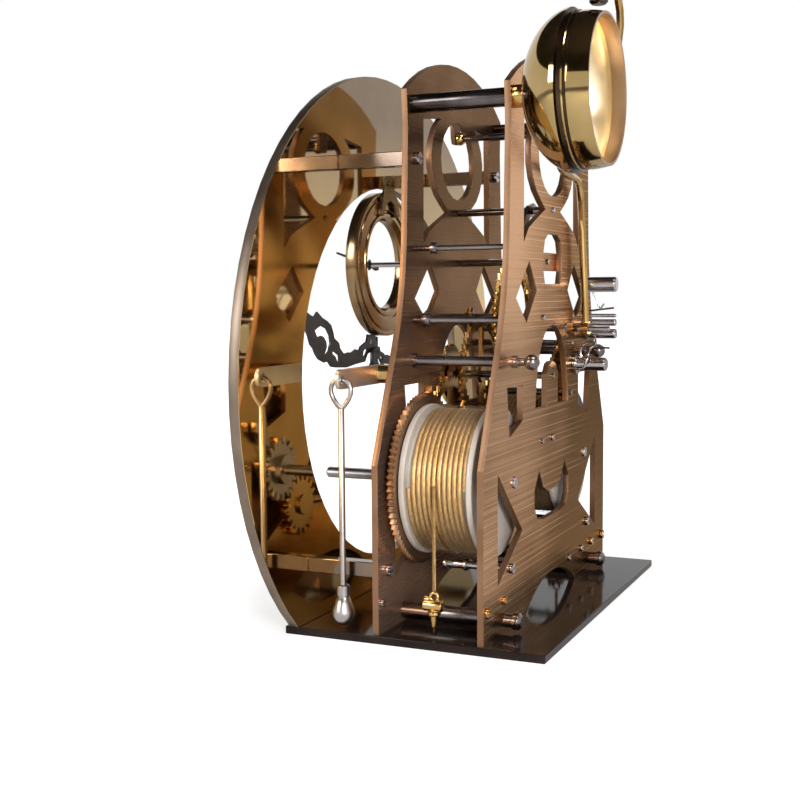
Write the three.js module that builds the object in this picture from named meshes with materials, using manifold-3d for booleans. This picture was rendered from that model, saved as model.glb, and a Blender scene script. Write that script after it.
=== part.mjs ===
// Cable-driven floor clock movement with its dial plate, on a display board.
// Millimetres. +Z is up, the dial faces -Y and the bell stands behind, at +Y.
// Origin: the board's underside, half-way between the two movement plates.
import * as THREE from "three";
import { mergeVertices } from "three/addons/utils/BufferGeometryUtils.js";
import Module from "manifold-3d";

const wasm = await Module();
wasm.setup();

// Board. Every other height below is measured from its top face.
const boardWidth = 166;
const boardDepth = 102;
const boardThickness = 3;
const boardForward = 6.4; // its middle lies this far in front of the plates' middle

// Clearances that tie neighbouring pieces together.
const running = 0.06; // a turning pivot in its hole, or a wheel on its post
const gap = 0.3; // pieces that sit close but stay apart
const lift = 0.6; // a wheel's face from the next wheel or plate

// The two movement plates.
const plateThickness = 2.4;
const plateGap = 38.4;
const plateHeight = 217;
const footHalf = 81.5;
const footHeight = 62.5;
const waist = [63.2, 104.3];
const hip = [53.4, 148];
const neck = [51.7, 187];
const shoulder = [52.7, 201];
const archHalfWidth = 34; // the low arch cut into the plates' lower edge
const archRise = 10.5;
const archPull = 20; // how far the arch, the flank and the crown are drawn out before they bend
const flankPull = [54.8, 124];
const crownPull = 29;
const plateIn = plateGap / 2;
const plateOut = plateIn + plateThickness;

// Dial plate with its round opening, and the seconds ring that hangs in the opening on a tab.
const dialHeight = 91;
const dialRadius = 123.5;
const openingRadius = 78;
const dialThickness = 4;
const dialBack = -plateOut - 29.8;
const dialFront = dialBack - dialThickness;
const secondsRise = 46; // from the middle of the dial up to the middle of the seconds ring
const secondsHeight = dialHeight + secondsRise;
const ringOuter = 30.4;
const ringInner = 18.6;
const ringThickness = 5;
const ringTab = [10, 1.4]; // width and thickness of the tab that holds the ring on the dial plate's back

// Pillars, at the same places on the left and on the right: distance from the middle, height, radius.
const topPillar = [47, 196, 3.5];
const midPillar = [47, 99, 1.9];
const lowPillar = [58.5, 4.2, 3.2];
const upperFoot = [44, 176];
const lowerFoot = [73, 22.5];
const footBar = [5, 5.6];

// Going train and striking train: teeth, modules and the directions from arbor to arbor in degrees.
const greatTeeth = 80;
const greatModule = 0.8;
const greatPinion = 10;
const secondTeeth = 48;
const secondModule = 1.03;
const trainModule = 1;
const centreTeeth = 48;
const thirdTeeth = 45;
const pinionTeeth = 8;
const trainPinion = 6;
const strikeTeeth = 36;
const warnTeeth = 24;
const warnModule = 0.725;
const escapeTeeth = 30;
const escapeRadius = 14.6;
const secondFrom = -60.9;
const barrelFrom = -19.2;
const thirdFrom = 62.1;
const strikeFrom = 51.5;
const warnFrom = 95;
const flyFrom = 40;

// Barrels: the drum, its flanges and the cable wound on it.
const cable = 1.5;
const cableTurns = 11;
const cablePitch = 2;
const drumRadius = 26.3; // to the middle of the cable
const flangeRadius = 28.6;
const flangeThickness = 2.2;
const barrelArbor = 2.2;
const wheelThickness = 2.6;

// Winding and stop wheels in front of the front plate.
const stopTeeth = 18;
const stopModule = 1.3;
const stopFrom = -133.5;
const clickPivot = [63, 70.2];

// Bell and hammer behind the back plate.
const bellRadius = 29.4;
const bellMouth = 26.7;
const bellWall = 1.2;
const bellApex = plateOut + 4.4;
const bellEquator = plateOut + 25.2;
const bellEnd = plateOut + 34.6;
const hammerPivot = [-37, 109];
const hammerPlane = plateOut + 3.5;

// Repeat lever with its pull rod, and the free ends of the two cables.
const leverPlane = -plateOut - 13;
const leverReach = 32.5;
const leverHeight = 93.5;
const leverHalf = 3.7; // half its width
const rodBottom = 2;
const dropOffset = drumRadius + cable + gap;
const dropPlane = 0.6;

const brass = material("brass plate", 0xa8794f, 0.85, 0.32);
const gold = material("polished brass", 0xd9a544, 0.95, 0.2);
const steel = material("polished steel", 0xb9b9bd, 1, 0.18);
const dark = material("dark steel", 0x3a3637, 0.9, 0.3);
const clear = material("pale plastic", 0xe4e0da, 0, 0.35);
const black = material("black lacquer", 0x15151a, 0.1, 0.4);
const board = material("black board", 0x1a1210, 0.1, 0.08);

const part = new THREE.Group();
part.name = "floor_clock_movement";
const movement = new THREE.Group();
movement.position.z = boardThickness;
part.add(movement);

function material(name, color, metalness, roughness) {
  return new THREE.MeshStandardMaterial({ name, color, metalness, roughness });
}

// A closed surface as a solid for joining and cutting, and back.
function solid(geometry) {
  const bare = geometry.clone();
  bare.deleteAttribute("normal");
  bare.deleteAttribute("uv");
  const merged = mergeVertices(bare, 1e-4);
  const vertProperties = new Float32Array(merged.attributes.position.array);
  const triVerts = new Uint32Array(merged.index.array);
  return new wasm.Manifold(new wasm.Mesh({ numProp: 3, vertProperties, triVerts }));
}

function place(name, piece, look, [x, z] = [0, 0], y = 0) {
  const mesh = piece.getMesh();
  const geometry = new THREE.BufferGeometry();
  geometry.setAttribute("position", new THREE.BufferAttribute(mesh.vertProperties, 3));
  geometry.setIndex(new THREE.BufferAttribute(mesh.triVerts, 1));
  geometry.computeVertexNormals();
  const node = new THREE.Mesh(geometry, look);
  node.name = name;
  node.position.set(x, y, z);
  movement.add(node);
}

// A flat outline in X and Z given thickness from y0 to y1.
function slab(shape, y0, y1, curveSegments = 6) {
  const options = { depth: y1 - y0, bevelEnabled: false, curveSegments, steps: 1 };
  return solid(new THREE.ExtrudeGeometry(shape, options).rotateX(Math.PI / 2).translate(0, y1, 0));
}

// A turned piece about Y from [radius, y] pairs; the ends close on the axis.
function turned(pairs, segments = 8) {
  const profile = [[0, pairs[0][1]], ...pairs, [0, pairs[pairs.length - 1][1]]];
  return solid(new THREE.LatheGeometry(profile.map(([r, y]) => new THREE.Vector2(r, y)), segments));
}

// A turned ring or shell about Y: the profile closes on itself.
function turnedRing(pairs, segments) {
  const profile = [...pairs, pairs[0]].map(([r, y]) => new THREE.Vector2(r, y));
  return solid(new THREE.LatheGeometry(profile, segments));
}

// The same turned piece standing upright, about Z.
function upright(pairs, segments = 10) {
  return turned(pairs, segments).rotate([90, 0, 0]);
}

// A round bar along a list of [x, y, z] points.
function bar(points, radius, steps, sides = 6, tension = 0.5) {
  const vectors = points.map((p) => new THREE.Vector3(...p));
  const path = new THREE.CatmullRomCurve3(vectors, false, "catmullrom", tension);
  const ring = Array.from({ length: sides }, (_, i) => {
    const a = (2 * Math.PI * i) / sides;
    return new THREE.Vector2(radius * Math.cos(a), radius * Math.sin(a));
  });
  const options = { extrudePath: path, steps, bevelEnabled: false };
  return solid(new THREE.ExtrudeGeometry(new THREE.Shape(ring), options));
}

const rad = (degrees) => (degrees * Math.PI) / 180;
const step = ([x, z], length, degrees) => [
  x + length * Math.cos(rad(degrees)),
  z + length * Math.sin(rad(degrees)),
];
const mirror = ([x, z, ...rest]) => [-x, z, ...rest];
const vectors = (pairs) => pairs.map(([x, z]) => new THREE.Vector2(x, z));
const polygon = (pairs) => new THREE.Path(vectors(pairs));
const polygonShape = (pairs) => new THREE.Shape(vectors(pairs));
const bothSides = (pairs) => [pairs, pairs.map(mirror)];

// The radius of a round hole with so many flats that still clears a pin of this radius.
const holeSides = 8;
const clearing = (radius, play = running) => (radius + play) / Math.cos(Math.PI / holeSides);
const circle = ([x, z], radius, sides = holeSides) =>
  Array.from({ length: sides }, (_, i) => step([x, z], radius, (360 * i) / sides));
const hole = (at, radius, sides) => polygon(circle(at, radius, sides));

// Outline of a wheel whose teeth come to a point, with a tooth at the given angle.
function pointed(teeth, module, angle) {
  const pitch = 360 / teeth;
  const middle = (teeth * module) / 2;
  return new THREE.Shape(
    vectors(
      Array.from({ length: 2 * teeth }, (_, i) =>
        step([0, 0], middle + (i % 2 ? -1.15 : 0.85) * module, angle + (i * pitch) / 2),
      ),
    ),
  );
}

// Outline of a wheel with long flat-topped teeth.
function toothed(teeth, module, angle) {
  const pitch = 360 / teeth;
  const middle = (teeth * module) / 2;
  const corners = [
    [-0.31, -1.2],
    [-0.13, 0.95],
    [0.13, 0.95],
    [0.31, -1.2],
  ];
  return new THREE.Shape(
    vectors(
      Array.from({ length: 4 * teeth }, (_, i) => {
        const [turn, height] = corners[i % 4];
        const at = angle + (Math.floor(i / 4) + turn) * pitch;
        return step([0, 0], middle + height * module, at);
      }),
    ),
  );
}

// Openings between a wheel's spokes.
function crossings(inner, outer, spokes, halfSpoke) {
  return Array.from({ length: spokes }, (_, i) => {
    const from = (360 * i) / spokes;
    const edge = (r) => (Math.asin(halfSpoke / r) * 180) / Math.PI;
    const arc = (r, steps, back) =>
      Array.from({ length: steps + 1 }, (_, k) => {
        const span = 360 / spokes - 2 * edge(r);
        const t = back ? 1 - k / steps : k / steps;
        return step([0, 0], r, from + edge(r) + span * t);
      });
    return polygon([...arc(outer, 3, false), ...arc(inner, 1, true)]);
  });
}

// A train wheel and its pinion made solid with the arbor they turn on.
function arborWith(profile, ...wheels) {
  return wheels.reduce((whole, wheel) => whole.add(wheel), turned(profile));
}

function spokedWheel(teeth, module, angle, y0, y1) {
  const shape = pointed(teeth, module, angle);
  shape.holes.push(...crossings(3.6, (teeth * module) / 2 - 3.6, 4, 1));
  return slab(shape, y0, y1);
}

const toothGap = (teeth, towards) => towards + 180 + 180 / teeth;

// Arbor places worked out from the meshing distances.
const meshing = (a, b, module) => ((a + b) * module) / 2;
const centreAt = [0, dialHeight];
const secondAt = step(centreAt, meshing(secondTeeth, pinionTeeth, secondModule), secondFrom);
const barrelAt = step(secondAt, meshing(greatTeeth, greatPinion, greatModule), barrelFrom);
const thirdAt = step(centreAt, meshing(centreTeeth, trainPinion, trainModule), thirdFrom);
const escapeReach = meshing(thirdTeeth, trainPinion, trainModule);
const escapeFrom = 180 - (Math.acos(thirdAt[0] / escapeReach) * 180) / Math.PI;
const escapeAt = step(thirdAt, escapeReach, escapeFrom);
const anchorAt = [0, escapeAt[1] + escapeRadius * Math.SQRT2];
const strikeBarrelAt = mirror(barrelAt);
const strikeAt = step(strikeBarrelAt, meshing(greatTeeth, greatPinion, greatModule), strikeFrom);
const warnAt = step(strikeAt, meshing(strikeTeeth, trainPinion, trainModule), warnFrom);
const flyAt = step(warnAt, meshing(warnTeeth, pinionTeeth, warnModule), flyFrom);
const stopAt = step(barrelAt, stopTeeth * stopModule, stopFrom);

// Arbor radii: the body of an arbor and the pivots at its ends.
const arbor = 1.5;
const pivot = 1.1;
const proud = 0.7; // a pivot stands this far out of its plate
const shoulderGap = 0.3; // the arbor's shoulder from the plate's inner face

// Plain arbor from plate to plate.
const arborProfile = [
  [pivot, -plateOut - proud],
  [pivot, -plateIn + shoulderGap],
  [arbor, -plateIn + shoulderGap],
  [arbor, plateIn - shoulderGap],
  [pivot, plateIn - shoulderGap],
  [pivot, plateOut + proud],
];

// Wheel layers between the plates, from the front plate to the back plate.
const secondLayer = [-plateIn + lift + 0.2, -plateIn + lift + 1.8];
const greatLayer = [secondLayer[1] + lift, secondLayer[1] + lift + wheelThickness];
const flangeFront = [greatLayer[1] + gap, greatLayer[1] + gap + flangeThickness];
const windingFront = flangeFront[1] + cable / 2 + gap;
const windingBack = windingFront + cableTurns * cablePitch;
const flangeRear = [windingBack + cable / 2 + gap, windingBack + cable / 2 + gap + flangeThickness];
const strikeLayer = [plateIn - 3.4, plateIn - 1.9];
const centreLayer = [-10, -8.4];
const thirdLayer = [8.2, 9.8];
const escapeLayer = [12.2, 13.6];
const warnLayer = [3.6, 5];
const flyLayer = [-5.5, 1];

// Board
{
  const shape = new THREE.Shape(
    vectors([
      [-boardWidth / 2, -boardThickness],
      [boardWidth / 2, -boardThickness],
      [boardWidth / 2, 0],
      [-boardWidth / 2, 0],
    ]),
  );
  const front = -boardForward - boardDepth / 2;
  place("base_board", slab(shape, front, front + boardDepth), board);
}

// Movement plates: one outline, the same windows, and the holes that each plate needs.
const sidePath = new THREE.Path();
sidePath.moveTo(0, archRise);
sidePath.quadraticCurveTo(archPull, archRise, archHalfWidth, 0);
sidePath.lineTo(footHalf, 0);
sidePath.lineTo(footHalf, footHeight);
sidePath.lineTo(...waist);
sidePath.quadraticCurveTo(...flankPull, ...hip);
sidePath.lineTo(...neck);
sidePath.lineTo(...shoulder);
sidePath.quadraticCurveTo(crownPull, plateHeight, 0, plateHeight);
const side = sidePath.getPoints(6).map((p) => [p.x, p.y]);
const plateOutline = [...side, ...side.slice(1, -1).reverse().map(mirror)];

const scallopMiddle = 178;
const scallopHalf = [29, 21];
const ringArc = Array.from({ length: 8 }, (_, i) => {
  const a = rad(50 - (108 * i) / 7);
  return [scallopHalf[0] * Math.cos(a), scallopMiddle + scallopHalf[1] * Math.sin(a)];
});
const upperWindow = [
  [37.2, 143.5],
  [36.6, 192],
  ...ringArc,
  [9.9, 157.4],
  [20.7, 153.4],
  [31, 149.3],
];
const diamond = [
  [30.4, 136.8],
  [21, 125.6],
  [33.7, 113.2],
  [46.2, 122.7],
];
const sideWindow = [
  [56.3, 90],
  [38, 90],
  [38, 76.4],
  [53.5, 71.2],
];
const footWindow = [
  [66.4, 59.5],
  [38.3, 34.2],
  [66.4, 18.5],
];
const archPath = new THREE.Path();
archPath.moveTo(7.3, 79);
archPath.lineTo(22.6, 79);
archPath.quadraticCurveTo(21.5, 93, 16.5, 101.5);
archPath.quadraticCurveTo(10, 111.6, 0, 111.6);
const archHalf = archPath.getPoints(5).map((p) => [p.x, p.y]);
const tongue = [
  [-7.3, 92],
  [-4, 96],
  [0, 97],
  [4, 96],
  [7.3, 92],
];
const arch = [...archHalf, ...archHalf.slice(0, -1).reverse().map(mirror), ...tongue];
const smile = [
  [17.5, 54.5],
  [23.5, 47],
  [23.3, 40],
  [19.5, 35.4],
  [12, 34],
  [-12, 34],
  [-19.5, 35.4],
  [-23.3, 40],
  [-23.5, 47],
  [-17.5, 54.5],
  [-12, 47],
  [-6, 44.6],
  [6, 44.6],
  [12, 47],
];
const keyhole = [
  [10.5, 128],
  [12.4, 133],
  [12.7, 140],
  [10.6, 145.4],
  [6, 148],
  [-6, 148],
  [-10.6, 145.4],
  [-12.7, 140],
  [-12.4, 133],
  [-10.5, 128],
];
const ovalMiddle = 178.6;
const ovalHalf = [18.7, 15.8];
const oval = Array.from({ length: 20 }, (_, i) => {
  const a = rad(18 * i);
  return [ovalHalf[0] * Math.cos(a), ovalMiddle + ovalHalf[1] * Math.sin(a)];
});

function plate(name, y0, windows, holes) {
  const y1 = y0 + plateThickness;
  const cuts = [
    ...[upperWindow, diamond, sideWindow, footWindow].flatMap(bothSides),
    ...windows,
    ...holes.map(([at, radius]) => circle(at, clearing(radius))),
  ].map((outline) => slab(polygonShape(outline), y0 - gap, y1 + gap));
  const blank = slab(polygonShape(plateOutline), y0, y1);
  place(name, wasm.Manifold.difference([blank, ...cuts]), brass);
}

const screw = 1.4; // shank of a screw or stud through a plate
const trainHoles = [secondAt, centreAt, thirdAt, anchorAt, strikeAt, warnAt, flyAt, hammerPivot];
const barrelHoles = [barrelAt, strikeBarrelAt];
const centreArbor = 1.4;
plate("front_plate", -plateOut, [oval, arch, smile], [
  ...trainHoles.filter((at) => at !== centreAt).map((at) => [at, pivot]),
  [centreAt, centreArbor],
  [escapeAt, pivot],
  ...barrelHoles.map((at) => [at, barrelArbor]),
  [stopAt, pivot],
  [mirror(stopAt), pivot],
  [clickPivot, pivot],
  [mirror(clickPivot), pivot],
]);
plate("back_plate", plateIn, [oval, arch, smile, keyhole], [
  ...trainHoles.map((at) => [at, pivot]),
  ...barrelHoles.map((at) => [at, barrelArbor]),
  ...[midPillar, lowPillar, topPillar].flatMap((at) => [
    [at, screw],
    [mirror(at), screw],
  ]),
]);

// Pillars between the plates.
const sides = [
  ["r", (at) => at],
  ["l", mirror],
];
const collar = (r, y0, y1) => [
  [r, y0],
  [r, y1],
];
// A ball head on a stem ends each middle pillar behind the back plate.
const ball = 3;
const ballAt = plateOut + 6.4;
const ballHead = [
  ...collar(screw, plateIn, plateOut),
  ...collar(2.4, plateOut, plateOut + 1.2),
  ...collar(1.5, plateOut + 1.2, ballAt - 0.86 * ball),
  ...[-30, 0, 30, 60].map((d) => [ball * Math.cos(rad(d)), ballAt + ball * Math.sin(rad(d))]),
  [0.4, ballAt + ball],
];
const topNut = [
  ...collar(screw, plateIn, plateOut),
  ...collar(3.2, plateOut, plateOut + 2.4),
  [2.2, plateOut + 3.4],
];
for (const [hand, at] of sides) {
  const right = hand === "r";
  const top = collar(topPillar[2], -plateIn, plateIn);
  const topWhole = right ? top : [...top, ...topNut];
  place(`top_pillar_${hand}`, turned(topWhole, 12), dark, at(topPillar));
  const mid = midPillar[2];
  const middle = [
    ...collar(mid + 0.9, -plateIn, -plateIn + 1.6),
    ...collar(mid, -plateIn + 1.6, plateIn),
    ...ballHead,
  ];
  place(`mid_pillar_${hand}`, turned(middle), steel, at(midPillar));
  const low = lowPillar[2];
  const bottom = [
    ...collar(low, -plateIn, plateIn),
    ...collar(screw, plateIn, plateOut),
    ...collar(low - 0.6, plateOut, plateOut + 3.4),
    ...collar(low, plateOut + 3.4, plateOut + 5.6),
    [low - 1.2, plateOut + 6.6],
  ];
  place(`bottom_pillar_${hand}`, turned(bottom, 12), steel, at(lowPillar));
}

// Thin stays at the right, and the spool stays under the drums.
const stay = (r, at, width) => [
  ...collar(r, -plateIn, at),
  ...collar(r + 1.2, at, at + width),
  ...collar(r, at + width, plateIn),
];
place("upper_stay", turned(stay(1.05, -11.8, 2.6), 8), steel, [47, 141.7]);
place("lower_stay", turned(stay(1.4, -15.5, 3.4), 8), steel, [47, 114.6]);
for (const [hand, at] of sides) {
  const spool = [
    ...collar(2.3, -5, -3.4),
    ...collar(1.7, -3.4, 3),
    ...collar(2.3, 3, 4.6),
    ...collar(1.5, 4.6, plateIn),
  ];
  const spoolAt = [51.8, barrelAt[1] - flangeRadius - 2.3 - gap - lift];
  place(`drum_stay_${hand}`, turned(spool), steel, at(spoolAt));
}

// Dial plate: a disc with a flat foot on the board and a round opening.
{
  const reach = Math.sqrt(dialRadius ** 2 - dialHeight ** 2);
  const from = (Math.atan2(-dialHeight, reach) * 180) / Math.PI;
  const span = 180 - 2 * from;
  const rim = Array.from({ length: 57 }, (_, i) =>
    step([0, dialHeight], dialRadius, from + (span * i) / 56),
  );
  const shape = new THREE.Shape(vectors(rim));
  shape.holes.push(hole([0, dialHeight], openingRadius, 56));
  place("dial_plate", slab(shape, dialFront, dialBack), gold);
}

// Seconds ring: it hangs in the opening on a tab that laps over the dial plate's back.
const box = (x, z0, z1) => polygonShape([
  [-x, z0],
  [x, z0],
  [x, z1],
  [-x, z1],
]);
const ringBack = dialBack - gap;
const ringProfile = [
  [ringInner, ringBack - ringThickness],
  [ringOuter, ringBack - ringThickness],
  [ringOuter, ringBack],
  [ringInner, ringBack],
];
{
  const [tabWidth, tabThickness] = ringTab;
  const edge = dialHeight + openingRadius - secondsHeight;
  const tabBack = dialBack + tabThickness;
  const neck = slab(box(tabWidth / 2, ringOuter - 3, edge - 1), ringBack - 1, tabBack);
  const lap = slab(box(tabWidth / 2, ringOuter - 3, edge + 5), dialBack, tabBack);
  place("seconds_ring", turnedRing(ringProfile, 40).add(neck).add(lap), gold, [0, secondsHeight]);
}
for (const [hand, at] of sides)
  for (const [level, foot] of [
    ["upper", upperFoot],
    ["lower", lowerFoot],
  ]) {
    const [w, h] = footBar;
    const rod = slab(box(w / 2, -h / 2, h / 2), dialBack, -plateOut);
    place(`dial_foot_${level}_${hand}`, rod, gold, at(foot));
  }

// Barrels: great wheel, drum with pale flanges, the cable's outer layer, and the winding arbor.
function winding() {
  const steps = 18;
  const lead = cable;
  const points = [new THREE.Vector3(drumRadius, windingFront, lead)];
  for (let i = 0; i <= cableTurns * steps; i++) {
    const a = (2 * Math.PI * i) / steps;
    const y = windingFront + (cablePitch * i) / steps;
    points.push(new THREE.Vector3(drumRadius * Math.cos(a), y, -drumRadius * Math.sin(a)));
  }
  points.push(new THREE.Vector3(drumRadius, windingBack, -lead));
  return points;
}

function tube(points, radius, sides) {
  const positions = [];
  const faces = [];
  points.forEach((p, i) => {
    const along = points[Math.min(i + 1, points.length - 1)].clone().sub(points[Math.max(i - 1, 0)]);
    const out = new THREE.Vector3(p.x, 0, p.z).normalize();
    const across = along.normalize().clone().cross(out).normalize();
    const up = across.clone().cross(along);
    for (let k = 0; k < sides; k++) {
      const a = (2 * Math.PI * k) / sides;
      const v = p.clone().addScaledVector(up, radius * Math.cos(a));
      v.addScaledVector(across, radius * Math.sin(a));
      positions.push(v.x, v.y, v.z);
    }
  });
  const last = (points.length - 1) * sides;
  for (let i = 0; i < points.length - 1; i++)
    for (let k = 0; k < sides; k++) {
      const [a, b] = [i * sides + k, i * sides + ((k + 1) % sides)];
      faces.push(a, b, a + sides, b, b + sides, a + sides);
    }
  for (let k = 1; k < sides - 1; k++) faces.push(0, k + 1, k, last, last + k, last + k + 1);
  const geometry = new THREE.BufferGeometry();
  geometry.setAttribute("position", new THREE.Float32BufferAttribute(positions, 3));
  geometry.setIndex(faces);
  return solid(geometry);
}

const windingPoints = winding();
const leastGap = windingPoints.reduce(
  (least, p, i) =>
    windingPoints.slice(i + 9).reduce((near, q) => Math.min(near, p.distanceTo(q) - cable), least),
  Infinity,
);
console.log(`cable winding: least gap to itself ${leastGap.toFixed(2)} mm`);

const drumCore = drumRadius * Math.cos(Math.PI / 18) - cable / 2 - 0.1;
const drumBore = barrelArbor + 0.8;
const flange = [flangeFront[0], flangeFront[1], flangeRear[0], flangeRear[1]];
const drumProfile = [
  [drumBore, flange[0]],
  [flangeRadius, flange[0]],
  [flangeRadius, flange[1]],
  [drumCore, flange[1]],
  [drumCore, flange[2]],
  [flangeRadius, flange[2]],
  [flangeRadius, flange[3]],
  [drumBore, flange[3]],
];
const arborFront = dialFront - 1.4;
const windingLayer = [-plateOut - lift - 3, -plateOut - lift];
const barrelProfile = [
  [barrelArbor - 0.8, arborFront],
  [barrelArbor, arborFront + 0.8],
  [barrelArbor, windingLayer[0] - 2.6],
  ...collar(6.2, windingLayer[0] - 2.6, windingLayer[0]),
  ...collar(barrelArbor, windingLayer[0], -plateIn + shoulderGap),
  ...collar(drumBore - gap, -plateIn + shoulderGap, plateIn - shoulderGap),
  ...collar(barrelArbor, plateIn - shoulderGap, plateOut + proud),
];
for (const [hand, at] of sides) {
  const towards = hand === "r" ? barrelFrom + 180 : strikeFrom;
  const stopTowards = hand === "r" ? stopFrom : 180 - stopFrom;
  const flip = (piece) => (hand === "r" ? piece : piece.mirror([1, 0, 0]));
  const great = pointed(greatTeeth, greatModule, towards);
  great.holes.push(hole([0, 0], clearing(drumBore - gap)));
  place(`great_wheel_${hand}`, slab(great, ...greatLayer), gold, at(barrelAt));
  place(`drum_${hand}`, turnedRing(drumProfile, 32), clear, at(barrelAt));
  place(`cable_${hand}`, flip(tube(windingPoints, cable / 2, 5)), gold, at(barrelAt));
  const windingWheel = slab(toothed(stopTeeth, stopModule, stopTowards), ...windingLayer);
  place(`winding_arbor_${hand}`, turned(barrelProfile, 12).add(windingWheel), steel, at(barrelAt));

  // Stop wheel beside the winding wheel, on its own pivot in the front plate.
  const stopOutline = toothed(stopTeeth, stopModule, toothGap(stopTeeth, stopTowards));
  const stopWheel = slab(stopOutline, ...windingLayer);
  const stopPivot = [
    ...collar(4.4, windingLayer[0] - 1.4, windingLayer[1]),
    ...collar(pivot, windingLayer[1], -plateIn - shoulderGap),
  ];
  place(`stop_wheel_${hand}`, turned(stopPivot).add(stopWheel), gold, at(stopAt));

  // Click that catches the winding wheel's teeth.
  const reach = Math.hypot(clickPivot[0] - barrelAt[0], clickPivot[1] - barrelAt[1]);
  const clickLength = reach - (stopTeeth * stopModule) / 2 - stopModule - lift;
  const aim = (Math.atan2(barrelAt[1] - clickPivot[1], barrelAt[0] - clickPivot[0]) * 180) / Math.PI;
  const arm = [
    [clickLength, 0],
    [3, 2.2],
    [-3.4, 2.6],
    [-6, 0],
    [-3.4, -2.6],
    [3, -2.2],
  ].map(([u, v]) => step(step([0, 0], u, aim), v, aim + 90));
  const clickPivotPin = turned([
    ...collar(2.2, windingLayer[0] - 0.8, windingLayer[1]),
    ...collar(pivot, windingLayer[1], -plateIn - shoulderGap),
  ]);
  const click = slab(polygonShape(arm), ...windingLayer).add(clickPivotPin);
  place(`click_${hand}`, flip(click), steel, at(clickPivot));
}

// Going train.
const pinion = (teeth, module, towards, y0, y1) =>
  slab(pointed(teeth, module, toothGap(teeth, towards)), y0, y1);
const overlap = 0.4; // a pinion is this much longer than its wheel at each end
const over = ([y0, y1]) => [y0 - overlap, y1 + overlap];
place(
  "second_wheel",
  arborWith(
    arborProfile,
    spokedWheel(secondTeeth, secondModule, secondFrom + 180, ...secondLayer),
    pinion(greatPinion, greatModule, barrelFrom + 180, greatLayer[0] - 0.3, greatLayer[1] + overlap),
  ),
  gold,
  secondAt,
);
const handThickness = 0.9;
const hourPlane = Math.min(dialFront, ringBack - ringThickness) - lift;
const handPlane = hourPlane - handThickness - lift;
const centreProfile = [
  ...collar(centreArbor, handPlane - handThickness - 0.8, -plateIn + shoulderGap),
  ...arborProfile.slice(2),
];
place(
  "centre_wheel",
  arborWith(
    centreProfile,
    spokedWheel(centreTeeth, trainModule, thirdFrom, ...centreLayer),
    pinion(pinionTeeth, secondModule, secondFrom + 180, ...over(secondLayer)),
  ),
  gold,
  centreAt,
);
place(
  "third_wheel",
  arborWith(
    arborProfile,
    spokedWheel(thirdTeeth, trainModule, escapeFrom, ...thirdLayer),
    pinion(trainPinion, trainModule, thirdFrom, ...over(centreLayer)),
  ),
  gold,
  thirdAt,
);

// Escape wheel with raked teeth; its arbor runs forward through the seconds ring.
{
  const pitch = 360 / escapeTeeth;
  const teeth = Array.from({ length: 2 * escapeTeeth }, (_, i) => {
    const [r, turn] = i % 2 ? [escapeRadius, 0.8] : [escapeRadius - 2.2, 0];
    return step([0, 0], r, (Math.floor(i / 2) + turn) * pitch);
  });
  const shape = new THREE.Shape(vectors(teeth));
  shape.holes.push(...crossings(3, escapeRadius - 4.2, 4, 0.8));
  const cockIn = plateIn - plateThickness;
  const profile = [
    ...collar(pivot, handPlane - 2.4, -plateIn + shoulderGap),
    ...collar(arbor, -plateIn + shoulderGap, cockIn - shoulderGap),
    ...collar(pivot, cockIn - shoulderGap, plateIn + proud),
  ];
  const wheel = arborWith(
    profile,
    slab(shape, ...escapeLayer),
    pinion(trainPinion, trainModule, escapeFrom, ...over(thirdLayer)),
  );
  place("escape_wheel", wheel, gold, escapeAt);

  // Bar across the back plate's upper window that carries the escape wheel's rear pivot.
  const half = [20, 3.6];
  const cock = box(half[0], -half[1], half[1]);
  cock.holes.push(hole([0, 0], clearing(pivot)));
  place("escape_cock", slab(cock, cockIn, plateIn), brass, escapeAt);
}

// Anchor above the escape wheel: two pallets on curved arms.
{
  const drop = anchorAt[1] - escapeAt[1];
  const palletReach = escapeRadius + 0.7;
  const tip = (degrees, r) => {
    const [x, z] = step([0, 0], r, degrees);
    return [x, z - drop];
  };
  const arms = [
    [0, 3],
    [6, 1.6],
    tip(41, palletReach + 5),
    tip(34, palletReach + 3),
    tip(38, palletReach),
    tip(48, palletReach + 1.4),
    [4, -2.6],
    [-4, -2.6],
    tip(132, palletReach + 1.4),
    tip(142, palletReach),
    tip(146, palletReach + 3),
    tip(139, palletReach + 5),
    [-6, 1.6],
  ];
  const pallets = slab(new THREE.Shape(vectors(arms.reverse())), ...escapeLayer);
  place("anchor", arborWith(arborProfile, pallets), steel, anchorAt);
}

// Striking train: pin wheel, warning wheel and fly.
const pinCircle = 12.6;
const liftPin = 0.7;
{
  const pins = Array.from({ length: 8 }, (_, i) => {
    const middle = step([0, 0], pinCircle, 45 * i);
    const outline = Array.from({ length: 6 }, (_, k) => step(middle, liftPin, 60 * k));
    return slab(polygonShape(outline), strikeLayer[1] - 0.2, plateIn - 0.5);
  });
  const wheel = slab(pointed(strikeTeeth, trainModule, warnFrom), ...strikeLayer);
  const lead = pinion(greatPinion, greatModule, strikeFrom, greatLayer[0] - 0.3, greatLayer[1] + overlap);
  place("pin_wheel", arborWith(arborProfile, wheel, lead, ...pins), gold, strikeAt);
}
place(
  "warning_wheel",
  arborWith(
    arborProfile,
    spokedWheel(warnTeeth, warnModule, flyFrom, ...warnLayer),
    pinion(trainPinion, trainModule, warnFrom, strikeLayer[0] - overlap, strikeLayer[1]),
  ),
  gold,
  warnAt,
);
{
  const vane = [
    [-9, -0.5],
    [9, -0.5],
    [9, 0.5],
    [-9, 0.5],
  ].map(([u, v]) => step(step([0, 0], u, 70), v, 160));
  const vanes = slab(new THREE.Shape(vectors(vane)), ...flyLayer);
  const lead = pinion(pinionTeeth, warnModule, flyFrom, ...over(warnLayer));
  place("fly", arborWith(arborProfile, vanes, lead), gold, flyAt);
}

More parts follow.
